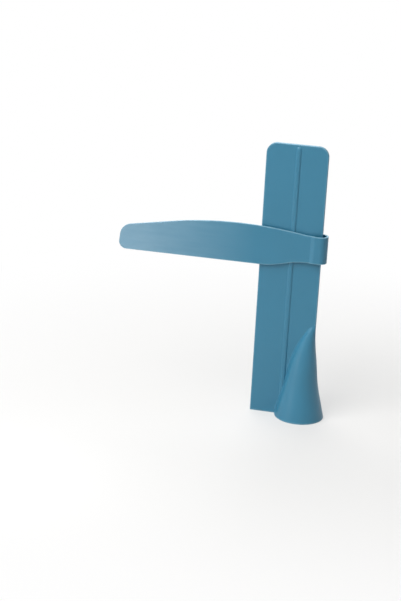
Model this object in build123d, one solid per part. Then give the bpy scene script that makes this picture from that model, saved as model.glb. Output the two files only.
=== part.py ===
from build123d import *
import os

# Adjustable icing smoother, in millimetres, standing as it is used.
# The upright is one moulding: a flat blade, a bead down its front and a hollow flared handle.
# The arm is the second moulding: a smoothing blade whose end is a loop round the upright.
# +Z is up, +X runs from the scraping edge to the handle and -Y is the front.
# The origin is the centre of the handle's round foot, on the surface that it stands on.

# Upright blade
blade_width = 53.5
blade_height = 245.0
blade_thickness = 3.6
blade_corner_radius = 9.0
blade_edge_round = 1.1

# Bead down the front of the blade
bead_width = 4.4
bead_height = 1.0
bead_from_scraping_edge = 27.6
bead_top_margin = 2.0
bead_nose_length = 9.0

# Hollow flared handle
handle_height = 86.0
handle_foot_radius = 22.0
handle_wall = 2.2
handle_axis_inset = 9.3
handle_crease_round = 1.8
handle_core_end_clearance = 0.7

# Arm, a smoothing blade with a loop at its end
arm_rest_height = 137.5
arm_reach = 126.8
arm_wall = 1.7
arm_edge_round = 0.6
arm_rim_chamfer = 0.4
arm_crest_height = 34.9
arm_shoulder_height = 31.3
arm_shoulder_radius = 250.0
arm_tip_height = 21.6
arm_tip_rake = 2.2
arm_tip_top_radius = 11.0
arm_tip_bottom_radius = 6.5
arm_neck_run = 2.5
arm_neck_radius = 25.0

# Loop that slides on the blade
slide_gap = 0.3
loop_rise = 6.0
loop_height = 24.0
loop_side_gap = 0.6
loop_corner_radius = 1.2
loop_end_radius = 6.5
loop_end_reach = 4.9
loop_flat = 3.5
loop_bend = 5.2

# Places that follow from the sizes
blade_right = handle_axis_inset
blade_left = blade_right - blade_width
half_blade = blade_thickness / 2
bead_middle = blade_left + bead_from_scraping_edge
loop_end_middle = blade_right + loop_end_reach - loop_end_radius
bend_end = loop_end_middle - loop_flat
bend_start = bend_end - loop_bend
pocket_left = blade_left - loop_side_gap
pocket_front = -half_blade - bead_height - slide_gap
pocket_back = half_blade + slide_gap
pocket_end_radius = loop_end_radius - arm_wall
arm_tip = blade_left - arm_reach

# Round sections of the handle from its foot to its nose:
# height and radius as shares of the handle's, and lean towards the blade's edge as a share of the inset
handle_section_shares = [
    (0.0, 1.0, 0.0),
    (0.14, 0.87, 0.0),
    (0.35, 0.68, 0.01),
    (0.58, 0.535, 0.09),
    (0.745, 0.395, 0.21),
    (0.885, 0.24, 0.46),
    (0.977, 0.11, 0.68),
    (1.0, 0.06, 0.74),
]

# The round section at which the hollow ends
handle_core_end_section = 3

# Places of the crest and of the shoulder along the arm, from the loop's bend to the tip
arm_crest_share = 0.33
arm_shoulder_share = 0.66


def round_section(height_share, radius_share, lean_share):
    """One round section of the handle."""
    middle = (lean_share * handle_axis_inset, 0, height_share * handle_height)
    return Plane(middle) * Circle(radius_share * handle_foot_radius)


def handle_body():
    """The flared handle as a solid, leaning towards the blade's outer edge as it rises."""
    return loft([round_section(*shares) for shares in handle_section_shares])


def handle_core():
    """The tapered core that leaves the handle hollow, open at the foot and a wall inside it all round."""
    height_share, radius_share, lean_share = handle_section_shares[handle_core_end_section]
    core_height = height_share * handle_height
    foot_radius = handle_foot_radius - handle_wall
    end_wall = handle_wall + lean_share * handle_axis_inset + handle_core_end_clearance
    core = Cone(foot_radius, radius_share * handle_foot_radius - end_wall, core_height)
    return Pos(0, 0, core_height / 2) * core


def blade():
    """The flat blade with its two large top corners, centred on the handle's axis."""
    middle = ((blade_left + blade_right) / 2, blade_height / 2)
    outline = Pos(*middle) * Rectangle(blade_width, blade_height)
    outline = fillet(outline.vertices().group_by(Axis.Y)[-1], blade_corner_radius)
    return extrude(Plane.XZ * outline, half_blade, both=True)


def blade_face_edges(body):
    """Edges of the blade's two flat faces: their outline above the foot, and the crease at the handle."""
    flat_faces = body.faces().filter_by(Plane.XZ).sort_by(SortBy.AREA)[-2:]
    outline = ShapeList()
    crease = ShapeList()
    for face in flat_faces:
        crease += face.edges().filter_by(GeomType.BSPLINE)
        outline += face.edges().filter_by(GeomType.BSPLINE, reverse=True).sort_by(Axis.Z)[1:]
    return outline, crease


def blade_on_handle():
    """Blade and handle grown together, with the blade's edges rounded and a soft crease between them."""
    body = blade() + handle_body()
    outline, _ = blade_face_edges(body)
    body = fillet(outline, blade_edge_round)
    _, crease = blade_face_edges(body)
    return fillet(crease, handle_crease_round)


def bead():
    """The half-round bead on the front face, with a nose that runs out below the top edge."""
    bead_radius = (bead_width ** 2 / 4 + bead_height ** 2) / (2 * bead_height)
    crest = -half_blade - bead_height
    nose_start = blade_height - bead_top_margin - bead_nose_length
    nose_radius = (bead_nose_length ** 2 + bead_height ** 2) / (2 * bead_height)
    across = Pos(bead_middle, crest + bead_radius) * Circle(bead_radius)
    across &= Pos(bead_middle, crest) * Rectangle(bead_width, 2 * bead_height)
    nose = Pos(0, 0, nose_start) * extrude(across, bead_nose_length)
    nose &= Pos(bead_middle, crest + nose_radius, nose_start) * Sphere(nose_radius)
    return extrude(across, nose_start) + nose


def upright():
    """Blade, bead and hollow handle in one piece, as they are moulded."""
    return blade_on_handle() + bead() - handle_core()


def s_bend(start, end):
    """Two arcs that step the wall sideways and leave it running as before."""
    middle = ((start[0] + end[0]) / 2, (start[1] + end[1]) / 2)
    direction = (1, 0) if end[0] > start[0] else (-1, 0)
    first = TangentArc(start, middle, tangent=direction)
    return [first, TangentArc(middle, end, tangent=first % 1)]


def loop_inside():
    """The loop's inside seen from above: a slot for the blade with a round end beyond its edge."""
    near_front = (bend_start, pocket_front)
    far_front = (bend_end, -pocket_end_radius)
    round_front = (loop_end_middle, -pocket_end_radius)
    round_end = (loop_end_middle + pocket_end_radius, 0)
    round_back = (loop_end_middle, pocket_end_radius)
    far_back = (bend_end, pocket_end_radius)
    near_back = (bend_start, pocket_back)
    edges = Curve() + [
        Line((pocket_left, pocket_front), near_front),
        *s_bend(near_front, far_front),
        Line(far_front, round_front),
        ThreePointArc(round_front, round_end, round_back),
        Line(round_back, far_back),
        *s_bend(far_back, near_back),
        Line(near_back, (pocket_left, pocket_back)),
        Line((pocket_left, pocket_back), (pocket_left, pocket_front)),
    ]
    slot = make_face(edges)
    return fillet(slot.vertices().group_by(Axis.X)[0], loop_corner_radius)


def loop():
    """The loop that slides on the blade: one wall of even thickness, with broken rims."""
    inside = loop_inside()
    band = offset(inside, arm_wall) - inside
    ring = Pos(0, 0, loop_rise) * extrude(band, loop_height)
    rims = ring.faces().filter_by(Plane.XY)
    return chamfer(rims.edges(), arm_rim_chamfer)


def arm_outline():
    """The smoothing blade seen from the front: arched top, straight lower edge and a blunt tip."""
    neck_x = bend_start - arm_neck_run
    length = neck_x - arm_tip
    loop_top = loop_rise + loop_height
    neck = (neck_x, loop_top)
    crest = (neck_x - arm_crest_share * length, arm_crest_height)
    shoulder = (neck_x - arm_shoulder_share * length, arm_shoulder_height)
    top_tip = (arm_tip + arm_tip_rake, arm_tip_height)
    bottom_tip = (arm_tip, 0)
    edges = Curve() + [
        Line(bottom_tip, (blade_left, 0)),
        *s_bend((blade_left, 0), (bend_start, loop_rise)),
        Line((bend_start, loop_rise), (bend_start, loop_top)),
        Line((bend_start, loop_top), neck),
        ThreePointArc(neck, crest, shoulder),
        Line(shoulder, top_tip),
        Line(top_tip, bottom_tip),
    ]
    outline = make_face(edges)
    rounds = [
        (bottom_tip, arm_tip_bottom_radius),
        (top_tip, arm_tip_top_radius),
        (shoulder, arm_shoulder_radius),
        (neck, arm_neck_radius),
    ]
    for corner, radius in rounds:
        outline = fillet(outline.vertices().sort_by_distance(corner)[0], radius)
    return outline


def face_rim(body, place):
    """The edges round the front or the back face of the arm's blade, up to the loop."""
    face = body.faces().filter_by(Plane.XZ).sort_by(Axis.Y)[place]
    return face.edges().sort_by(Axis.X)[:-1]


def smoothing_blade():
    """The arm's flat blade, which ends where the loop's wall goes on: rounded in front, broken behind."""
    flat = extrude(Plane.XZ.offset(-pocket_front) * arm_outline(), arm_wall)
    flat = fillet(face_rim(flat, 0), arm_edge_round)
    return chamfer(face_rim(flat, -1), arm_rim_chamfer)


def arm():
    """Smoothing blade and loop in one piece, at the height that the photograph shows."""
    return Pos(0, 0, arm_rest_height) * (smoothing_blade() + loop())


def write(name, shape):
    """One STEP file for each piece."""
    shape.label = name
    export_step(shape, f"parts/{name}.step")


os.makedirs("parts", exist_ok=True)
write("upright", upright())
write("arm", arm())
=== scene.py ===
"""Adjustable icing smoother: the two moulded pieces finished for rendering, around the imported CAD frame."""

import math

import bpy
import numpy as np
from mathutils import Matrix, Vector


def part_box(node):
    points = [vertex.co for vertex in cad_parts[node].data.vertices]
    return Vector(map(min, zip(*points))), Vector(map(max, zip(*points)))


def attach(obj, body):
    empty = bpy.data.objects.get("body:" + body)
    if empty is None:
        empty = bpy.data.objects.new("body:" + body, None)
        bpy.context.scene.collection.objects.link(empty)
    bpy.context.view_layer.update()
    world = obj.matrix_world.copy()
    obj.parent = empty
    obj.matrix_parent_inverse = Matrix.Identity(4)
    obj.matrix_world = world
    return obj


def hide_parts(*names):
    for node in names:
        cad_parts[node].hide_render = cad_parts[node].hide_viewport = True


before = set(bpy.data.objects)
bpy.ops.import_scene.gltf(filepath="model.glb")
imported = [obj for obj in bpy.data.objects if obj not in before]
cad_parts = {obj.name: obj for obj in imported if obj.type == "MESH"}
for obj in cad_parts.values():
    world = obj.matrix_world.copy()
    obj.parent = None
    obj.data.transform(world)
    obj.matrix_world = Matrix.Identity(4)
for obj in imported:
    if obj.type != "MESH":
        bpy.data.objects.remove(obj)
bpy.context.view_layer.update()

bl_info = {
    "name": "Icing smoother",
    "version": (1, 0, 0),
    "blender": (4, 5, 0),
    "location": "View3D > Sidebar > Smoother",
    "description": "Builds the upright and the sliding arm of an icing smoother, and a studio round them",
    "category": "Add Mesh",
}

MM = 0.001


def length(name, description, default):
    """A length in metres, shown in the scene's unit."""
    return bpy.props.FloatProperty(
        name=name, description=description, default=default, min=0, subtype="DISTANCE", unit="LENGTH", precision=5
    )


def colour(name, description, hex_code):
    """A colour, given as sRGB hex and held linear."""
    return bpy.props.FloatVectorProperty(
        name=name, description=description, default=linear(hex_code), size=3, min=0, max=1, subtype="COLOR"
    )


def share(name, description, default, largest=1.0):
    """A plain number from 0 to its largest value."""
    return bpy.props.FloatProperty(name=name, description=description, default=default, min=0, max=largest)


def linear(hex_code):
    """Linear RGB of an sRGB hex colour."""
    srgb = np.array([int(hex_code[i:i + 2], 16) for i in (1, 3, 5)]) / 255
    return tuple(np.where(srgb <= 0.04045, srgb / 12.92, ((srgb + 0.055) / 1.055) ** 2.4).tolist())


class UprightSizes(bpy.types.PropertyGroup):
    """Sizes of the upright blade, its bead and its flared handle."""

    blade_width: length("Blade width", "From the scraping edge to the outer edge", 53.5 * MM)
    blade_height: length("Blade height", "From the foot to the top edge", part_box("upright")[1].z)
    blade_thickness: length("Blade thickness", "Thickness of the flat blade", 3.6 * MM)
    corner_radius: length("Corner radius", "Radius of the two top corners", 9 * MM)
    edge_round: length("Edge rounding", "Rounding of the blade's edges", 0.5 * MM)
    foot_round: length("Foot rounding", "Rounding of the edges at the foot", 0.5 * MM)
    bead_width: length("Bead width", "Width of the bead down the front", 4.2 * MM)
    bead_height: length("Bead height", "How far the bead stands proud", 1 * MM)
    bead_inset: length("Bead inset", "From the scraping edge to the bead's middle", 27.8 * MM)
    bead_margin: length("Bead margin", "From the top edge to the bead's end", 2 * MM)
    bead_nose: length("Bead nose", "Length over which the bead sinks into the face", 4 * MM)
    handle_height: length("Handle height", "From the foot to the point where the handle ends in the blade", 86 * MM)
    handle_radius: length("Handle radius", "Outer radius of the round foot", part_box("upright")[1].x)
    handle_wall: length("Handle wall", "Wall of the hollow handle", 2.2 * MM)
    handle_inset: length("Handle inset", "From the foot's middle to the blade's outer edge", 9.3 * MM)
    crease_round: length("Crease rounding", "Soft rounding where the handle meets the blade", 1.3 * MM)
    core_clearance: length("Core clearance", "Extra wall at the end of the hollow", 0.7 * MM)


class ArmSizes(bpy.types.PropertyGroup):
    """Sizes of the arm's smoothing blade and of the loop that slides on the upright."""

    height: length("Height", "Height of the arm's lower edge above the foot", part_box("arm")[0].z)
    reach: length("Reach", "From the scraping edge to the tip", 126.8 * MM)
    wall: length("Wall", "Thickness of the wall", 1.7 * MM)
    edge_round: length("Edge rounding", "Rounding of the wall's edges", 0.3 * MM)
    crest_height: length("Crest height", "Height of the arched edge at its crest", 34.9 * MM)
    shoulder_height: length("Shoulder height", "Height where the arch goes over into the straight end", 31.3 * MM)
    tip_height: length("Tip height", "Height of the blunt tip", 21.6 * MM)
    tip_rake: length("Tip rake", "How far the tip leans in at its top", 2.2 * MM)
    tip_top_radius: length("Tip top radius", "Radius of the tip's upper corner", 11 * MM)
    tip_bottom_radius: length("Tip bottom radius", "Radius of the tip's lower corner", 6.5 * MM)
    slide_gap: length("Slide gap", "Gap between the loop and the upright, front and back", 0.3 * MM)
    side_gap: length("Side gap", "Gap at the scraping edge", 0.6 * MM)
    loop_rise: length("Loop rise", "How far the loop's lower rim stands above the arm's edge", 6 * MM)
    loop_height: length("Loop height", "Height of the loop", 24 * MM)
    loop_corner: length("Loop corner", "Inner radius of the loop's corners", 1.2 * MM)
    end_radius: length("End radius", "Outer radius of the loop's round end", 6.5 * MM)
    end_reach: length("End reach", "How far the round end stands out beyond the blade's edge", 4.9 * MM)
    loop_flat: length("Loop flat", "Straight stretch before the round end", 3.5 * MM)
    loop_bend: length("Loop bend", "Length of the bend by which the wall steps outwards", 5.2 * MM)


class PlasticFinish(bpy.types.PropertyGroup):
    """Colour and surface of the moulded plastic, with the paler edge colour, which paints rubbing and also a
    highlight, and the colour of a painted reflection.
    """

    body: colour("Colour", "Colour of the plastic", "#3C82A0")
    deep: colour("Deep colour", "Colour where the melt flowed slowest", "#377D9B")
    # Paler edge colour: rubbing, and also a painted highlight along the edges that face the light
    edge_wear_and_highlight: colour("Worn colour", "Colour of edges that have rubbed against bowls and drawers", "#9CC8D8")
    # Painted reflection: the paler colour that lightens the arm towards its end
    hazed: colour("Hazed colour", "Colour of the arm's end, hazed by much scraping and wiping", "#82A8BE")
    roughness: share("Roughness", "Roughness of the moulded skin", 0.38)
    # Strength of the paler edges, rubbing and painted highlight together
    wear_and_painted_light: share("Wear", "How much the edges are rubbed", 1.0)


class StudioLight(bpy.types.PropertyGroup):
    """Strengths of the soft lights and the colour of the floor."""

    key: share("Key light", "Power of the large soft light at the left, in watts", 8.7, 500.0)
    top: share("Top light", "Power of the soft light overhead, in watts", 13.0, 500.0)
    back: share("Back light", "Power of the large soft light behind, in watts", 11.0, 500.0)
    low: share("Low light", "Power of the low soft light at the left, in watts", 0.07, 500.0)
    ambient: share("Ambient", "Strength of the even light from all round", 0.06, 5.0)
    floor: colour("Floor", "Colour of the floor", "#DFDEDC")


# Shapes as functions of two parameters


def smooth_max(first, second, blend):
    """The larger of two values. Where they differ by less than the blend, the square of what is missing,
    over four blends, is added, so that one goes over into the other without a crease."""
    missing = np.maximum(blend - np.abs(first - second), 0)
    return np.maximum(first, second) + missing ** 2 / (4 * blend)


def smooth_min(first, second, blend):
    """The smaller of two values, with the same soft change."""
    return -smooth_max(-first, -second, blend)


def natural_spline(knots, values, places):
    """The cubic through all values whose bending is continuous and ends at zero:
    the second derivatives at the knots solve one linear system, and each stretch is the cubic that has them."""
    step = np.diff(knots)
    rise = np.diff(values) / step
    system = np.eye(len(knots))
    inner = np.arange(1, len(knots) - 1)
    system[inner, inner - 1] = step[:-1]
    system[inner, inner] = 2 * (step[:-1] + step[1:])
    system[inner, inner + 1] = step[1:]
    bending = np.linalg.solve(system, np.concatenate([[0], 6 * np.diff(rise), [0]]))
    k = np.clip(np.searchsorted(knots, places) - 1, 0, len(step) - 1)
    ahead, behind = knots[k + 1] - places, places - knots[k]
    curve = (bending[k] * ahead ** 3 + bending[k + 1] * behind ** 3) / (6 * step[k])
    straight = (values[k] / step[k] - bending[k] * step[k] / 6) * ahead
    return curve + straight + (values[k + 1] / step[k] - bending[k + 1] * step[k] / 6) * behind


def rounded_slab(inside, half, edge):
    """Half the depth of a slab with rounded edges at a distance inside its outline:
    a quarter circle over the edge rounding, and the full half depth beyond."""
    missing = np.clip(edge - inside, 0, edge)
    return half - edge + np.sqrt(edge ** 2 - missing ** 2)


def s_curve(x, start, end, rise):
    """Two equal arcs, the second the first turned round, that climb the rise between start and end."""
    half = (end - start) / 2
    radius = (half ** 2 + (rise / 2) ** 2) / rise
    near = np.clip(x - start, 0, half)
    far = np.clip(end - x, 0, half)
    first = radius - np.sqrt(radius ** 2 - near ** 2)
    second = rise - radius + np.sqrt(radius ** 2 - far ** 2)
    return np.where(x < start + half, first, second)


# How finely the upright is drawn: steps round each edge, places at which an outline is measured, columns left of,
# over and right of the bead, rows from the foot up, and rows up the hollow
ROUND_STEPS = 9
MEASURE_STEPS = 500
LEFT_COLUMNS, BEAD_COLUMNS, RIGHT_COLUMNS = 66, 45, 104
HANDLE_ROWS, NOSE_ROWS, BLADE_ROWS, MARGIN_ROWS, CORNER_ROWS = 58, 24, 40, 5, 31
HOLLOW_ROWS = 24
# Stretch below the handle's point where rows are close together, and the margin round such stretches
NOSE_STRETCH = 14 * MM
ROW_MARGIN = 2 * MM
# Powers by which columns crowd towards the blade's two edges, and the share by which they crowd at the bead's roots
LEFT_CROWDING, RIGHT_CROWDING, ROOT_CROWDING = 1.6, 1.5, 0.09
# Half the width of the columns' own stretch over the bead, in widths of the bead
BEAD_STRETCH = 0.65
# The bead's section is an ellipse of this power, with a small rounding at its root
BEAD_POWER = 2.4
BEAD_ROOT_ROUND = 0.12 * MM
# Greatest softness of the change from the handle's right to the blade, and softness where it leaves the blade's edge
HANDLE_BLEND = 1 * MM
SIDE_BLEND = 0.3 * MM
# Rounding at the end of the hollow
HOLLOW_END_ROUND = 2 * MM
# Rubbing at the foot, and along the blade's outline rubbing with a painted highlight in the same paler colour: how
# far it reaches in from the foot and from the blade's outline, and over which part of the outline's rounding it
# fades towards the narrow sides, in roundings, and how strong it is along the blade
FOOT_RUB, RIM_RUB_AND_HIGHLIGHT, SIDE_FADE = 2, 2.4, 0.3
RIM_RUB_AND_HIGHLIGHT_STRENGTH = 0.6

# Round sections of the handle from its foot to its nose, as shares of its height, radius and inset
HANDLE_SHARES = np.array([
    (0.0, 1.0, 0.0),
    (0.14, 0.87, 0.0),
    (0.35, 0.68, 0.01),
    (0.58, 0.535, 0.09),
    (0.745, 0.395, 0.21),
    (0.885, 0.24, 0.46),
    (0.977, 0.11, 0.68),
    (1.0, 0.06, 0.74),
])
HOLLOW_END_SECTION = 3


def foot_inset(z, size):
    """How far the outline draws in just above the foot: a quarter circle over the foot rounding."""
    missing = np.clip(size.foot_round - z, 0, size.foot_round)
    return size.foot_round - np.sqrt(size.foot_round ** 2 - missing ** 2)


def handle_section(z, size):
    """Radius and middle of the handle at each height, on natural splines through the round sections."""
    heights = HANDLE_SHARES[:, 0] * size.handle_height
    radius = natural_spline(heights, HANDLE_SHARES[:, 1] * size.handle_radius, z)
    middle = natural_spline(heights, HANDLE_SHARES[:, 2] * size.handle_inset, z)
    above = z > size.handle_height
    return np.where(above, 0, radius), np.where(above, middle[~above].max(initial=0), middle)


def bead_profile(x, z, size):
    """Height of the bead: half an ellipse across, slightly squared by its power, lowered into the face along
    a quarter ellipse at its nose, with a small rounding at its root."""
    left = size.handle_inset - size.blade_width
    across = 2 * (x - left - size.bead_inset) / size.bead_width
    crown = size.bead_height * np.maximum(1 - np.abs(across) ** BEAD_POWER, 0) ** (1 / BEAD_POWER)
    nose_start = size.blade_height - size.bead_margin - size.bead_nose
    along = np.clip((z - nose_start) / size.bead_nose, 0, 1)
    sunk = crown - size.bead_height * (1 - np.sqrt(1 - along ** 2))
    return smooth_max(sunk, 0, BEAD_ROOT_ROUND)


def upright_half_depth(x, z, size, with_bead):
    """Half the depth of the upright at a place on its front: the larger of the rounded slab, with its bead,
    and of the round handle, whose left side runs into the slab on the arc that touches both."""
    foot = foot_inset(z, size)
    half = size.blade_thickness / 2 - foot
    left, right = size.handle_inset - size.blade_width, size.handle_inset
    corner = size.corner_radius
    to_side = np.minimum(x - left, right - x) - foot
    to_top = size.blade_height - z
    inside = corner - np.hypot(np.maximum(corner - to_side, 0), np.maximum(corner - to_top, 0))
    slab = rounded_slab(np.maximum(inside, 0), half, size.edge_round)
    if with_bead:
        slab = slab + bead_profile(x, z, size)
    radius, middle = handle_section(z, size)
    radius = radius - foot
    across = x - middle
    circle = np.sqrt(np.maximum(radius ** 2 - across ** 2, 0))
    crease = size.crease_round
    reach = np.sqrt(np.maximum((radius + crease) ** 2 - (half + crease) ** 2, 0))
    touch = reach * radius / (radius + crease)
    from_start = np.clip(across + reach, 0, crease)
    fillet = half + crease - np.sqrt(crease ** 2 - from_start ** 2)
    left_side = np.where(across < -reach, 0, np.where(across < -touch, fillet, circle))
    blend = np.clip(radius - half, 0.001 * HANDLE_BLEND, HANDLE_BLEND)
    outer = smooth_max(slab, circle, blend)
    grown = np.where(across < 0, np.maximum(slab, left_side), outer)
    return np.where(radius > half, grown, slab), inside


def upright_sides(z, size):
    """Left and right end of the upright's outline at each height: the blade's edges with their round corners,
    and the handle where it stands out beyond the blade's edge."""
    foot = foot_inset(z, size)
    left, right = size.handle_inset - size.blade_width, size.handle_inset
    corner = size.corner_radius
    rise = np.clip(z - (size.blade_height - corner), 0, corner)
    inset = corner - np.sqrt(corner ** 2 - rise ** 2)
    radius, middle = handle_section(z, size)
    band = size.blade_thickness / 2 - size.edge_round
    handle_end = middle + np.sqrt(np.maximum((radius - foot) ** 2 - band ** 2, 0))
    blade_end = right - inset - foot
    return left + inset + foot, np.where(radius > 0, smooth_max(blade_end, handle_end, SIDE_BLEND), blade_end)


def even_columns(start, end, z, size, count, crowd):
    """Places along x that divide the front outline between start and end by its length.
    The shares are powers, so that columns crowd towards the rounded end. All rows are inverted in one
    interpolation, since row numbers added to the shares keep them rising."""
    fine = np.linspace(0, 1, MEASURE_STEPS)
    grid = 1 - np.cos(fine * math.pi / 2) if crowd == "start" else np.sin(fine * math.pi / 2)
    x = start[:, None] + (end - start)[:, None] * grid
    depth, _ = upright_half_depth(x, z[:, None], size, False)
    step = np.hypot(np.diff(x), np.diff(depth))
    travelled = np.concatenate([np.zeros((len(z), 1)), np.cumsum(step, axis=1)], axis=1)
    travelled /= travelled[:, -1:]
    even = np.linspace(0, 1, count)
    wanted = even ** LEFT_CROWDING if crowd == "start" else 1 - (1 - even) ** RIGHT_CROWDING
    offset = 2 * np.arange(len(z))[:, None]
    found = np.interp((wanted + offset).ravel(), (travelled + offset).ravel(), x.ravel())
    return found.reshape(len(z), count)


def upright_rows(size):
    """Heights of the rows: close together at the foot's rounding, along the handle and round the top corners."""
    quarter = np.linspace(0, math.pi / 2, ROUND_STEPS)
    nose_start, nose_end = size.handle_height - NOSE_STRETCH, size.handle_height + ROW_MARGIN
    corner_start = size.blade_height - size.corner_radius
    foot = size.foot_round * (1 - np.cos(quarter))
    handle = np.linspace(size.foot_round, nose_start, HANDLE_ROWS)[1:]
    nose = np.linspace(nose_start, nose_end, NOSE_ROWS)[1:]
    plain = np.linspace(nose_end, corner_start - ROW_MARGIN, BLADE_ROWS)[1:]
    before = np.linspace(corner_start - ROW_MARGIN, corner_start, MARGIN_ROWS)[1:]
    corner = corner_start + size.corner_radius * np.sin(np.linspace(0, math.pi / 2, CORNER_ROWS))[1:]
    return np.concatenate([foot, handle, nose, plain, before, corner])


def upright_outside(size):
    """Rings of the upright's outside, from the foot to the top edge, each once round from the left end along the
    front and back along the rear, with the distance from the blade's edge at each point."""
    z = upright_rows(size)
    left, right = upright_sides(z, size)
    bead_middle = size.handle_inset - size.blade_width + size.bead_inset
    bead_left = np.full(len(z), bead_middle - BEAD_STRETCH * size.bead_width)
    bead_right = np.full(len(z), bead_middle + BEAD_STRETCH * size.bead_width)
    sweep = np.linspace(0, 1, BEAD_COLUMNS)
    crowded = sweep + ROOT_CROWDING * np.sin(4 * math.pi * sweep)
    over_bead = (bead_left[:, None] + (bead_right - bead_left)[:, None] * crowded)[:, 1:-1]
    x = np.concatenate([
        even_columns(left, bead_left, z, size, LEFT_COLUMNS, "start"),
        over_bead,
        even_columns(bead_right, right, z, size, RIGHT_COLUMNS, "end"),
    ], axis=1)
    height = np.broadcast_to(z[:, None], x.shape)
    front, inside = upright_half_depth(x, height, size, True)
    back, _ = upright_half_depth(x, height, size, False)
    ring_x = np.concatenate([x, x[:, ::-1]], axis=1)
    ring_y = np.concatenate([-front, back[:, ::-1]], axis=1)
    ring_z = np.concatenate([height, height], axis=1)
    near_edge = np.concatenate([inside, inside[:, ::-1]], axis=1)
    return np.stack([ring_x, ring_y, ring_z], axis=2), near_edge


def handle_hollow(size, angles):
    """Rings of the hollow inside the handle, from its mouth to its rounded end: circles on a straight taper, drawn
    in along a quarter circle at the end and widened along one at the mouth, at the angles of the foot's outline."""
    quarter = np.linspace(0, math.pi / 2, ROUND_STEPS)
    height_share, radius_share, lean_share = HANDLE_SHARES[HOLLOW_END_SECTION]
    end = height_share * size.handle_height
    end_wall = size.handle_wall + lean_share * size.handle_inset + size.core_clearance
    foot_radius = size.handle_radius - size.handle_wall
    end_radius = radius_share * size.handle_radius - end_wall
    z = np.concatenate([
        size.foot_round * (1 - np.cos(quarter)),
        np.linspace(size.foot_round, end - HOLLOW_END_ROUND, HOLLOW_ROWS)[1:],
        end - HOLLOW_END_ROUND + HOLLOW_END_ROUND * np.sin(quarter[1:]),
    ])
    drawn_in = np.zeros(len(z))
    drawn_in[1 - ROUND_STEPS:] = HOLLOW_END_ROUND * (1 - np.cos(quarter[1:]))
    radius = foot_radius + (end_radius - foot_radius) * z / end - drawn_in + foot_inset(z, size)
    x = radius[:, None] * np.cos(angles)
    y = radius[:, None] * np.sin(angles)
    return np.stack([x, y, np.broadcast_to(z[:, None], x.shape)], axis=2)


def ring_faces(index, closed=True):
    """Quads between the rows of an index grid, each row once round where it is closed."""
    following = np.roll(index, -1, axis=1) if closed else index[:, 1:]
    current = index if closed else index[:, :-1]
    quads = np.stack([current[:-1], following[:-1], following[1:], current[1:]], axis=-1)
    return quads.reshape(-1, 4)


def new_piece(name, points, faces, wear_and_painted_light, node, material):
    """A mesh object of the points and faces, smooth, with attributes for how near each point is to an edge, which
    paints it paler for rubbing and as a highlight, and for how much painted reflection it carries. It rides on its
    body in the place of the CAD node."""
    mesh = bpy.data.meshes.new(name)
    mesh.from_pydata(points.tolist(), [], faces)
    mesh.polygons.foreach_set("use_smooth", np.ones(len(mesh.polygons), bool))
    for key, values in wear_and_painted_light.items():
        mesh.attributes.new(key, "FLOAT", "POINT").data.foreach_set("value", values.astype(np.float32))
    mesh.materials.append(material)
    mesh.validate()
    mesh.update()
    piece = bpy.data.objects.new(name, mesh)
    bpy.context.scene.collection.objects.link(piece)
    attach(piece, node)
    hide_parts(node)


def upright_wear_and_highlight(outside, inside, size):
    """How much paler the upright is painted at each point outside, for rubbing at the foot's rim and for rubbing
    with a painted highlight along the blade's edges: most at the foot's rim, less along the blade's edges, and not
    at all on the handle or on the flat of the blade's narrow sides."""
    height = outside[:, :, 2]
    foot = np.clip(1 - height / (FOOT_RUB * size.foot_round), 0, 1)
    rim = np.clip(1 - inside / (RIM_RUB_AND_HIGHLIGHT * size.edge_round), 0, 1)
    off_side = np.clip(inside / (SIDE_FADE * size.edge_round), 0, 1)
    rim = RIM_RUB_AND_HIGHLIGHT_STRENGTH * np.where(height < size.blade_height - size.corner_radius, rim * off_side, rim)
    on_handle = (height < size.handle_height) & (outside[:, :, 0] > 0)
    return np.maximum(np.where(on_handle, 0, rim), foot)


def upright_mesh(size):
    """Points, faces and edge marks of the whole upright, rubbing with a painted highlight and no painted reflection:
    rings outside, a strip that closes the top, a strip under the blade, a ring under the handle's wall, the hollow's
    rings and a fan at its end."""
    outside, inside = upright_outside(size)
    rows, around, _ = outside.shape
    half = around // 2
    grid = np.arange(rows * around).reshape(rows, around)
    faces = [ring_faces(grid)]
    mirrored = around - 1 - np.arange(half)
    top_front, top_back = grid[-1, :half], grid[-1, mirrored]
    faces.append(ring_faces(np.stack([top_front, top_back]), closed=False))
    foot_x = outside[0, :half, 0]
    radius, middle = handle_section(np.zeros(1), size)
    crease = size.crease_round
    reach = math.sqrt((radius[0] + crease) ** 2 - (size.blade_thickness / 2 + crease) ** 2)
    first = int(np.searchsorted(foot_x, middle[0] - reach))
    foot_front, foot_back = grid[0, :first + 1], grid[0, mirrored[:first + 1]]
    faces.append(ring_faces(np.stack([foot_back, foot_front]), closed=False))
    under = grid[0, first:around - first]
    angles = np.arctan2(outside[0, first:around - first, 1], outside[0, first:around - first, 0] - middle[0])
    hollow = handle_hollow(size, angles)
    hollow_grid = grid.size + np.arange(hollow.shape[0] * hollow.shape[1]).reshape(hollow.shape[:2])
    faces.append(ring_faces(np.concatenate([under[None], hollow_grid])[:, ::-1]))
    pole = grid.size + hollow_grid.size
    end_ring = hollow_grid[-1]
    faces.append(np.stack([np.full(len(end_ring), pole), np.roll(end_ring, -1), end_ring], axis=1))
    pole_point = [hollow[-1, :, 0].mean(), 0, hollow[-1, 0, 2]]
    points = np.concatenate([outside.reshape(-1, 3), hollow.reshape(-1, 3), [pole_point]])
    mouth = np.clip(1 - hollow[:, :, 2] / (FOOT_RUB * size.foot_round), 0, 1).ravel()
    near_edge = np.concatenate([upright_wear_and_highlight(outside, inside, size).ravel(), mouth, [0]])
    wear_and_painted_light = {"near_edge": near_edge, "hazed": np.zeros(len(near_edge))}
    return points, [face for part in faces for face in part.tolist()], wear_and_painted_light


# The arm

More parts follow.
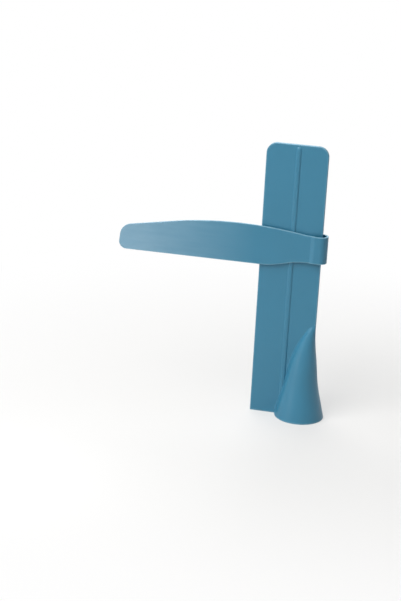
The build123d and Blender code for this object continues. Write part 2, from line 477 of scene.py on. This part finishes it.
# How finely the arm is drawn: steps round the tip's corners and along the outline's edges, rows at the tip and along
# the plate, steps round the loop's bends, end and corner and along its straight stretches, and points of a section
CORNER_STEPS, LOW_STEPS, RISE_STEPS, TOP_STEPS = 60, 12, 60, 240
TIP_ROWS, PLATE_ROWS = 34, 76
BEND_STEPS, END_STEPS, TURN_STEPS, FLAT_STEPS, BACK_STEPS, CLOSING_STEPS = 41, 61, 17, 5, 30, 24
SECTION_POINTS, SECTION_CROWDING = 72, 0.145
# Stretch at the tip where rows crowd, and the angle of its first row on a quarter turn
TIP_STRETCH = 12 * MM
FIRST_TURN = math.radians(2.5)
# Straight run from the bend to the neck, and places of crest and shoulder as shares of the way from neck to tip
NECK_RUN = 2.5 * MM
CREST_SHARE, SHOULDER_SHARE = 0.33, 0.66
# Softness of the changes at the neck and at the shoulder, and how far from the shoulder the end is straight
NECK_BLEND, SHOULDER_BLEND, SHOULDER_REACH = 0.4 * MM, 0.28 * MM, 10 * MM
# How far the closing wall reaches towards the plate's front, and the rounding where it meets the plate outside
CLOSING_OVERLAP = 0.9 * MM
CLOSING_ROUND = 0.8 * MM
# How far the flat outline runs on beyond the wall's end, so that no edge is rounded there
BEYOND_END = 5 * MM
# How far rubbing with a painted highlight reaches in from the arm's edges, in roundings
EDGE_RUB_AND_HIGHLIGHT = 3
# Painted reflection that lightens the arm towards its end: where it starts, the length over which it grows, and how
# strong it gets in front and behind
REFLECTION_START, REFLECTION_LENGTH = -48 * MM, 100 * MM
REFLECTION_FRONT, REFLECTION_BACK = 0.72, 0.36


def rounded_corner(before, corner, after, radius, count):
    """Points of the arc that touches both lines at a corner: its middle lies on their bisector."""
    before, corner, after = (np.array(p, float) for p in (before, corner, after))
    to_before = (before - corner) / np.linalg.norm(before - corner)
    to_after = (after - corner) / np.linalg.norm(after - corner)
    half = math.acos(float(np.clip(to_before @ to_after, -1, 1))) / 2
    bisector = (to_before + to_after) / np.linalg.norm(to_before + to_after)
    middle = corner + bisector * radius / math.sin(half)
    start = corner + to_before * radius / math.tan(half) - middle
    end = corner + to_after * radius / math.tan(half) - middle
    turn = np.linspace(0, 1, count)[:, None] * (math.pi - 2 * half)
    sweep = math.pi - 2 * half
    return middle + (np.sin(sweep - turn) * start + np.sin(turn) * end) / math.sin(sweep)


def arm_places(size, upright):
    """Places along x that the arm's shape is built on."""
    right = upright.handle_inset
    left = right - upright.blade_width
    end_middle = right + size.end_reach - size.end_radius
    bend_end = end_middle - size.loop_flat
    bend_start = bend_end - size.loop_bend
    return left, bend_start, bend_end, end_middle, left - size.reach


def arm_top(x, size, upright):
    """Height of the arm's upper edge: the loop's top, the arc of a circle through neck, crest and shoulder,
    and a straight end, which go over into each other softly."""
    _, bend_start, _, _, tip = arm_places(size, upright)
    neck = bend_start - NECK_RUN
    span = neck - tip
    top = size.loop_rise + size.loop_height
    crest = (neck - CREST_SHARE * span, size.crest_height)
    shoulder = (neck - SHOULDER_SHARE * span, size.shoulder_height)
    a, b, c = (np.array(p) for p in ((neck, top), crest, shoulder))
    lines = 2 * np.array([b - a, c - a])
    middle = np.linalg.solve(lines, [b @ b - a @ a, c @ c - a @ a])
    radius = np.linalg.norm(a - middle)
    arch = middle[1] + np.sqrt(np.maximum(radius ** 2 - (x - middle[0]) ** 2, 0))
    slope = (size.shoulder_height - size.tip_height) / (shoulder[0] - tip - size.tip_rake)
    straight = size.shoulder_height + slope * (x - shoulder[0])
    towards_loop = smooth_max(arch, top, NECK_BLEND)
    round_shoulder = smooth_min(arch, straight, SHOULDER_BLEND)
    towards_tip = np.where(x < shoulder[0] - SHOULDER_REACH, straight, round_shoulder)
    return np.where(x > crest[0], towards_loop, towards_tip)


def arm_outline(size, upright):
    """The wall's outline laid flat, up to the bend, where its first value is x: from the lower tip corner along the
    lower edge, and back from the bend along the upper edge."""
    left, bend_start, _, _, tip = arm_places(size, upright)
    low_tip, high_tip = (tip, 0), (tip + size.tip_rake, size.tip_height)
    on_straight = high_tip[0] + TIP_STRETCH
    slope_point = (on_straight, float(arm_top(np.array([on_straight]), size, upright)[0]))
    low_corner = rounded_corner(high_tip, low_tip, (left, 0), size.tip_bottom_radius, CORNER_STEPS)
    high_corner = rounded_corner(slope_point, high_tip, low_tip, size.tip_top_radius, CORNER_STEPS)
    low_x = np.concatenate([
        np.linspace(low_corner[-1, 0], left, LOW_STEPS)[1:],
        np.linspace(left, bend_start, RISE_STEPS)[1:],
    ])
    low_z = s_curve(low_x, left, bend_start, size.loop_rise)
    high_x = np.linspace(bend_start, high_corner[0, 0], TOP_STEPS)
    high_z = arm_top(high_x, size, upright)
    lower = np.concatenate([low_corner, np.stack([low_x, low_z], axis=1)])
    upper = np.concatenate([np.stack([high_x, high_z], axis=1), high_corner[1:]])
    return lower, upper


def distance_inside(points, outline):
    """Distance from each point to the closed outline: the least distance to any of its segments."""
    start, along = outline, np.roll(outline, -1, axis=0) - outline
    away = points[:, None, :] - start
    share_along = np.clip((away * along).sum(2) / np.maximum((along ** 2).sum(1), 1e-18), 0, 1)
    nearest = away - share_along[:, :, None] * along
    return np.sqrt((nearest ** 2).sum(2).min(axis=1))


def loop_path(size, upright):
    """The inner line of the loop seen from above, from the bend round the end and back behind the blade to the
    plate, in arcs and straight stretches, and the distance of the plate's inner face from the blade's middle."""
    left, bend_start, bend_end, end_middle, _ = arm_places(size, upright)
    half = upright.blade_thickness / 2
    front = half + upright.bead_height + size.slide_gap
    back = half + size.slide_gap
    end_radius = size.end_radius - size.wall
    pocket_left = left - size.side_gap
    corner = size.loop_corner
    bend = np.linspace(bend_start, bend_end, BEND_STEPS)
    flat = np.linspace(bend_end, end_middle, FLAT_STEPS)
    turn = np.linspace(-math.pi / 2, math.pi / 2, END_STEPS)
    behind = np.linspace(bend_start, pocket_left + corner, BACK_STEPS)
    quarter = np.linspace(0, math.pi / 2, TURN_STEPS)
    closing = np.linspace(back - corner, -front - CLOSING_OVERLAP, CLOSING_STEPS)
    pieces = [
        (bend, -front - s_curve(bend, bend_start, bend_end, end_radius - front)),
        (flat, np.full(FLAT_STEPS, -end_radius)),
        (end_middle + end_radius * np.cos(turn), end_radius * np.sin(turn)),
        (flat[::-1], np.full(FLAT_STEPS, end_radius)),
        (bend[::-1], back + s_curve(bend[::-1], bend_start, bend_end, end_radius - back)),
        (behind, np.full(BACK_STEPS, back)),
        (pocket_left + corner - corner * np.sin(quarter), back - corner + corner * np.cos(quarter)),
        (np.full(CLOSING_STEPS, pocket_left), closing),
    ]
    pieces = [np.stack(piece, axis=1) for piece in pieces]
    path = np.concatenate([pieces[0]] + [piece[1:] for piece in pieces[1:]])
    return path, front


def arm_rows(size, upright, tip_end):
    """The arm's plan line as points with their outward normals, and the coordinate along the flat outline."""
    _, bend_start, _, _, _ = arm_places(size, upright)
    path, front = loop_path(size, upright)
    tip = tip_end + TIP_STRETCH * (1 - np.cos(np.linspace(FIRST_TURN, math.pi / 2, TIP_ROWS)))
    plate_x = np.concatenate([tip, np.linspace(tip[-1], bend_start, PLATE_ROWS)[1:-1]])
    plate = np.stack([plate_x, np.full(len(plate_x), -front)], axis=1)
    line = np.concatenate([plate, path])
    step = np.linalg.norm(np.diff(line, axis=0), axis=1)
    travelled = plate_x[0] + np.concatenate([[0], np.cumsum(step)])
    ahead = np.diff(line, axis=0)
    ahead /= np.linalg.norm(ahead, axis=1, keepdims=True)
    direction = np.concatenate([ahead[:1], ahead[:-1] + ahead[1:], ahead[-1:]])
    direction /= np.linalg.norm(direction, axis=1, keepdims=True)
    outward = np.stack([direction[:, 1], -direction[:, 0]], axis=1)
    return line, outward, travelled, front


def plate_growth(line, outward, front, radius):
    """How far the closing wall widens where it meets the plate: a quarter circle that touches both."""
    last_turn = outward[:, 0] < -0.99
    gap = np.where(last_turn, line[:, 1] + front, radius)
    missing = np.clip(radius - gap, 0, radius)
    return radius - np.sqrt(radius ** 2 - missing ** 2)


def arm_mesh(size, upright):
    """Points, faces and painted marks of the arm, rubbing with a painted highlight at its edges and a painted
    reflection
    towards its end: at each point of the plan line a section from the lower to the upper edge, whose two faces stand
    apart by the wall and close in at the edges on quarter circles."""
    lower, upper = arm_outline(size, upright)
    tip_end = np.concatenate([lower, upper])[:, 0].min()
    line, outward, travelled, front = arm_rows(size, upright, tip_end)
    end = travelled[-1] + BEYOND_END
    corners = [(end, size.loop_rise), (end, size.loop_rise + size.loop_height)]
    outline = np.concatenate([lower, corners, upper])
    order = np.argmin(outline[:, 0])
    turned = np.roll(outline, -order, axis=0)
    split = int(np.argmax(turned[:, 0]))
    low_chain = turned[:split + 1]
    high_chain = np.concatenate([turned[:1], turned[:split:-1]])
    low = np.interp(travelled, low_chain[:, 0], low_chain[:, 1])
    high = np.interp(travelled, high_chain[:, 0], high_chain[:, 1])
    even = np.linspace(0, 1, SECTION_POINTS)
    spread = even - SECTION_CROWDING * np.sin(2 * math.pi * even)
    height = low[:, None] + (high - low)[:, None] * spread
    flat = np.stack([np.broadcast_to(travelled[:, None], height.shape), height], axis=2).reshape(-1, 2)
    inside = distance_inside(flat, outline).reshape(height.shape)
    half = size.wall / 2
    depth = rounded_slab(inside, half, size.edge_round)
    grow_out = plate_growth(line, outward, front, CLOSING_ROUND)
    grow_in = plate_growth(line, outward, front, size.loop_corner)
    outer = half + depth + grow_out[:, None]
    inner = half - depth - grow_in[:, None]
    z = size.height + height
    faces_out, faces_in = (
        np.concatenate([line[:, None, :] + outward[:, None, :] * away[:, :, None], z[:, :, None]], axis=2)
        for away in (outer, inner)
    )
    rings = np.concatenate([faces_out, faces_in[:, ::-1]], axis=1)
    rows, around, _ = rings.shape
    grid = np.arange(rows * around).reshape(rows, around)
    mirrored = around - 1 - np.arange(around // 2)
    faces = [
        ring_faces(grid[:, ::-1]),
        ring_faces(np.stack([grid[0, :around // 2], grid[0, mirrored]]), closed=False),
        ring_faces(np.stack([grid[-1, mirrored], grid[-1, :around // 2]]), closed=False),
    ]
    # Edges painted paler for rubbing and as a painted highlight along the lit top edge
    edge_wear_and_highlight = np.clip(1 - inside / (EDGE_RUB_AND_HIGHLIGHT * size.edge_round), 0, 1)
    near_edge = np.concatenate([edge_wear_and_highlight, edge_wear_and_highlight[:, ::-1]], axis=1).ravel()
    # Painted reflection, growing towards the arm's end, stronger on the front face than behind
    towards_end = np.clip((REFLECTION_START - line[:, 0]) / REFLECTION_LENGTH, 0, 1)[:, None] * np.ones_like(height)
    hazed = np.concatenate([REFLECTION_FRONT * towards_end, REFLECTION_BACK * towards_end], axis=1).ravel()
    wear_and_painted_light = {"near_edge": near_edge, "hazed": hazed}
    return rings.reshape(-1, 3), [face for part in faces for face in part.tolist()], wear_and_painted_light


# Materials


def add_node(tree, kind, inputs=None, **settings):
    """Add a node, set its properties and fill its sockets: a socket is linked, any other value is set."""
    node = tree.nodes.new(kind)
    for name, value in settings.items():
        setattr(node, name, value)
    for name, value in (inputs or {}).items():
        if isinstance(value, bpy.types.NodeSocket):
            tree.links.new(value, node.inputs[name])
        else:
            node.inputs[name].default_value = value
    return node


def mixed(tree, factor, first, second):
    """The colour between two colours."""
    mix = add_node(tree, "ShaderNodeMix", {"Factor": factor, "A": first, "B": second}, data_type="RGBA")
    return mix.outputs["Result"]


def empty_tree(owner):
    """The owner's node tree, emptied."""
    owner.use_nodes = True
    owner.node_tree.nodes.clear()
    return owner.node_tree


def moulded_polypropylene(finish):
    """Injection-moulded polypropylene, dyed through and taken from a finely blasted mould. To the eye it has an
    even, slightly waxy satin gloss, broad soft highlights, a skin with a faint orange peel, colour that drifts a
    little with the flow of the melt, and edges paler and duller from rubbing, whose paler colour also paints a
    highlight. Towards the arm's end a painted reflection lightens it."""
    material = bpy.data.materials.get("moulded_polypropylene")
    if material:
        return material
    material = bpy.data.materials.new("moulded_polypropylene")
    tree = empty_tree(material)
    place = add_node(tree, "ShaderNodeTexCoord").outputs["Object"]
    # Flow of the melt: drifts about 45 mm across
    flow = add_node(tree, "ShaderNodeTexNoise", {"Vector": place, "Scale": 1 / (45 * MM), "Detail": 2.0})
    body = mixed(tree, flow.outputs["Fac"], (*finish.deep, 1), (*finish.body, 1))
    # Edges painted paler for rubbing and as a painted highlight: broken up every 6 mm
    edge = add_node(tree, "ShaderNodeAttribute", attribute_name="near_edge")
    edge_mark_noise = add_node(tree, "ShaderNodeTexNoise", {"Vector": place, "Scale": 1 / (6 * MM), "Detail": 1.5})
    rubbed_and_highlighted = add_node(tree, "ShaderNodeMath", {0: edge.outputs["Fac"], 1: edge_mark_noise.outputs["Fac"]}, operation="MULTIPLY")
    edge_wear_and_highlight = add_node(tree, "ShaderNodeMath", {0: rubbed_and_highlighted.outputs[0], 1: finish.wear_and_painted_light}, operation="MULTIPLY")
    shade = mixed(tree, edge_wear_and_highlight.outputs[0], body, (*finish.edge_wear_and_highlight, 1))
    # Painted reflection that lightens the arm towards its end: streaks about 30 mm long and 4 mm wide along the arm
    painted_reflection_amount = add_node(tree, "ShaderNodeAttribute", attribute_name="hazed")
    along = add_node(tree, "ShaderNodeMapping", {
        "Vector": place, "Scale": (1 / (30 * MM), 1 / (4 * MM), 1 / (4 * MM)),
    })
    reflection_streak_noise = add_node(tree, "ShaderNodeTexNoise", {"Vector": along.outputs["Vector"], "Scale": 1.0, "Detail": 3.0})
    streaks = add_node(tree, "ShaderNodeMapRange", {
        "Value": reflection_streak_noise.outputs["Fac"], "From Min": 0.3, "From Max": 0.7, "To Min": 0.85, "To Max": 1.1,
    })
    painted_reflection_share = add_node(tree, "ShaderNodeMath", {
        0: painted_reflection_amount.outputs["Fac"], 1: streaks.outputs["Result"],
    }, operation="MULTIPLY")
    shade = mixed(tree, painted_reflection_share.outputs[0], shade, (*finish.hazed, 1))
    # Skin: an orange peel with cells of 1.1 mm, and a blasted grain of 0.35 mm, drawn coarser than its real 0.05 mm
    peel = add_node(tree, "ShaderNodeTexNoise", {"Vector": place, "Scale": 1 / (1.1 * MM), "Detail": 1.0})
    grain = add_node(tree, "ShaderNodeTexNoise", {"Vector": place, "Scale": 1 / (0.35 * MM), "Detail": 1.0})
    skin = add_node(tree, "ShaderNodeMath", {
        0: grain.outputs["Fac"], 1: 0.5, 2: peel.outputs["Fac"],
    }, operation="MULTIPLY_ADD")
    bump = add_node(tree, "ShaderNodeBump", {"Height": skin.outputs[0], "Strength": 0.12, "Distance": 0.05 * MM})
    dull = add_node(tree, "ShaderNodeMapRange", {
        "Value": flow.outputs["Fac"], "From Min": 0.3, "From Max": 0.7,
        "To Min": finish.roughness - 0.03, "To Max": finish.roughness + 0.03,
    })
    rough = add_node(tree, "ShaderNodeMath", {
        0: edge_wear_and_highlight.outputs[0], 1: 0.3, 2: dull.outputs["Result"],
    }, operation="MULTIPLY_ADD")
    shader = add_node(tree, "ShaderNodeBsdfPrincipled", {
        "Base Color": shade, "Roughness": rough.outputs[0], "Normal": bump.outputs["Normal"],
        "IOR": 1.49, "Metallic": 0.0,
    })
    add_node(tree, "ShaderNodeOutputMaterial", {"Surface": shader.outputs["BSDF"]})
    return material


# Studio


def aimed(place, target):
    """The turn that points an object's -Z axis from its place to the target, with its Y axis upwards."""
    return (Vector(target) - Vector(place)).to_track_quat("-Z", "Y").to_matrix().to_4x4()


# The soft lights, each with the setting that holds its power: place, target, width and height
MIDDLE = (-40 * MM, 0, 130 * MM)
SOFT_LIGHTS = {
    "key": ((-0.44, -0.62, 0.92), MIDDLE, 0.75, 0.6),
    "top": ((-0.15, -0.25, 1.8), MIDDLE, 1.2, 1.2),
    "back": ((-0.5, 0.9, 1.1), MIDDLE, 1.2, 0.8),
    "low": ((-0.252, -0.243, 0.07), (0, 0, 0.06), 0.05, 0.06),
}
# The camera, solved from the photograph: place in metres, yaw, pitch and roll in degrees, lens and sensor in mm
CAMERA_PLACE = (173.9 * MM, -1232.3 * MM, 518.0 * MM)
CAMERA_TURNS = ((12.31, "Z"), (90 - 18.49, "X"), (3.03, "Z"))
CAMERA_LENS, CAMERA_SENSOR = 89.95, 36.0
FLOOR_REACH = 15.0


def soft_light(name, place, target, width, height, power):
    """A rectangular soft light that shines on the target."""
    lamp = bpy.data.lights.new(name, "AREA")
    lamp.shape = "RECTANGLE"
    lamp.size = width
    lamp.size_y = height
    lamp.energy = power
    light = bpy.data.objects.new(name, lamp)
    light.matrix_world = Matrix.Translation(place) @ aimed(place, target)
    light.visible_camera = False
    bpy.context.scene.collection.objects.link(light)


def seen_directly(tree):
    """One for rays from the camera, and for those by which gloss and glass show the background; otherwise nought."""
    path = add_node(tree, "ShaderNodeLightPath")
    seen = add_node(tree, "ShaderNodeMath", {
        0: path.outputs["Is Camera Ray"], 1: path.outputs["Is Glossy Ray"],
    }, operation="MAXIMUM")
    seen = add_node(tree, "ShaderNodeMath", {
        0: seen.outputs[0], 1: path.outputs["Is Transmission Ray"],
    }, operation="MAXIMUM")
    return seen.outputs[0]


def studio_floor(studio):
    """A matt paper floor, large enough to fill the picture. It keeps its shadows near the object and goes over
    into the plain white background further out."""
    material = bpy.data.materials.new("matt_paper")
    tree = empty_tree(material)
    paper = add_node(tree, "ShaderNodeBsdfPrincipled", {
        "Base Color": (*studio.floor, 1), "Roughness": 0.9, "IOR": 1.45, "Specular IOR Level": 0.2,
    })
    place = add_node(tree, "ShaderNodeTexCoord").outputs["Object"]
    away = add_node(tree, "ShaderNodeVectorMath", {0: place}, operation="LENGTH")
    far = add_node(tree, "ShaderNodeMapRange", {
        "Value": away.outputs["Value"], "From Min": 0.1, "From Max": 0.5, "To Min": 0.45, "To Max": 1.0,
    }, interpolation_type="SMOOTHSTEP")
    seen = seen_directly(tree)
    white_share = add_node(tree, "ShaderNodeMath", {0: far.outputs["Result"], 1: seen}, operation="MULTIPLY")
    white = add_node(tree, "ShaderNodeEmission", {"Color": (1, 1, 1, 1), "Strength": 1.0})
    surface = add_node(tree, "ShaderNodeMixShader", {
        0: white_share.outputs[0], 1: paper.outputs["BSDF"], 2: white.outputs["Emission"],
    })
    add_node(tree, "ShaderNodeOutputMaterial", {"Surface": surface.outputs[0]})
    mesh = bpy.data.meshes.new("studio_floor")
    corners = [(x * FLOOR_REACH, y * FLOOR_REACH, 0) for x, y in ((-1, -1), (1, -1), (1, 1), (-1, 1))]
    mesh.from_pydata(corners, [], [(0, 1, 2, 3)])
    mesh.materials.append(material)
    floor = bpy.data.objects.new("studio_floor", mesh)
    bpy.context.scene.collection.objects.link(floor)


def studio_world(studio):
    """Even light from all round. Whatever sees the background directly sees it white."""
    world = bpy.data.worlds.new("studio")
    bpy.context.scene.world = world
    tree = empty_tree(world)
    light = add_node(tree, "ShaderNodeBackground", {"Color": (1, 1, 1, 1), "Strength": studio.ambient})
    white = add_node(tree, "ShaderNodeBackground", {"Color": (1, 1, 1, 1), "Strength": 1.0})
    mix = add_node(tree, "ShaderNodeMixShader", {0: seen_directly(tree), 1: light.outputs[0], 2: white.outputs[0]})
    add_node(tree, "ShaderNodeOutputWorld", {"Surface": mix.outputs[0]})


def photograph_camera():
    """The camera at the photograph's place: its position, turn, downward pitch and roll, and its lens."""
    camera = bpy.data.cameras.new("camera")
    camera.lens = CAMERA_LENS
    camera.sensor_width = CAMERA_SENSOR
    camera.clip_end = 100.0
    eye = bpy.data.objects.new("camera", camera)
    yaw, pitch, roll = (Matrix.Rotation(math.radians(turn), 4, axis) for turn, axis in CAMERA_TURNS)
    eye.matrix_world = Matrix.Translation(CAMERA_PLACE) @ yaw @ pitch @ roll
    bpy.context.scene.collection.objects.link(eye)
    bpy.context.scene.camera = eye


class SMOOTHER_OT_upright(bpy.types.Operator):
    """Build the upright: blade, bead and hollow flared handle"""

    bl_idname = "smoother.upright"
    bl_label = "Build upright"

    def execute(self, context):
        points, faces, wear_and_painted_light = upright_mesh(context.scene.upright_sizes)
        plastic = moulded_polypropylene(context.scene.plastic_finish)
        new_piece("upright_moulding", points, faces, wear_and_painted_light, "upright", plastic)
        return {"FINISHED"}


class SMOOTHER_OT_arm(bpy.types.Operator):
    """Build the arm: smoothing blade and the loop that slides on the upright"""

    bl_idname = "smoother.arm"
    bl_label = "Build arm"

    def execute(self, context):
        points, faces, wear_and_painted_light = arm_mesh(context.scene.arm_sizes, context.scene.upright_sizes)
        plastic = moulded_polypropylene(context.scene.plastic_finish)
        new_piece("arm_moulding", points, faces, wear_and_painted_light, "arm", plastic)
        return {"FINISHED"}


class SMOOTHER_OT_stage(bpy.types.Operator):
    """Set up the floor, the soft lights and the camera"""

    bl_idname = "smoother.stage"
    bl_label = "Set up stage"

    def execute(self, context):
        studio = context.scene.studio_light
        for name, layout in SOFT_LIGHTS.items():
            soft_light(f"{name}_light", *layout, getattr(studio, name))
        studio_floor(studio)
        studio_world(studio)
        photograph_camera()
        context.scene.view_settings.view_transform = "Standard"
        return {"FINISHED"}


class SMOOTHER_PT_build(bpy.types.Panel):
    """Buttons and sizes of the icing smoother"""

    bl_label = "Icing smoother"
    bl_space_type = "VIEW_3D"
    bl_region_type = "UI"
    bl_category = "Smoother"

    def draw(self, context):
        for operator in BUILD_ORDER:
            self.layout.operator(operator.bl_idname)
        for name in GROUPS:
            group = getattr(context.scene, name)
            box = self.layout.box()
            for key in group.__annotations__:
                box.prop(group, key)


GROUPS = {
    "upright_sizes": UprightSizes,
    "arm_sizes": ArmSizes,
    "plastic_finish": PlasticFinish,
    "studio_light": StudioLight,
}
BUILD_ORDER = (SMOOTHER_OT_stage, SMOOTHER_OT_upright, SMOOTHER_OT_arm)


def register():
    for group in (*GROUPS.values(), *BUILD_ORDER, SMOOTHER_PT_build):
        bpy.utils.register_class(group)
    for name, group in GROUPS.items():
        setattr(bpy.types.Scene, name, bpy.props.PointerProperty(type=group))


def unregister():
    for name in GROUPS:
        delattr(bpy.types.Scene, name)
    for group in (SMOOTHER_PT_build, *reversed(BUILD_ORDER), *reversed(GROUPS.values())):
        bpy.utils.unregister_class(group)


def main():
    register()
    bpy.ops.smoother.stage()
    bpy.ops.smoother.upright()
    bpy.ops.smoother.arm()


if __name__ == "__main__":
    main()
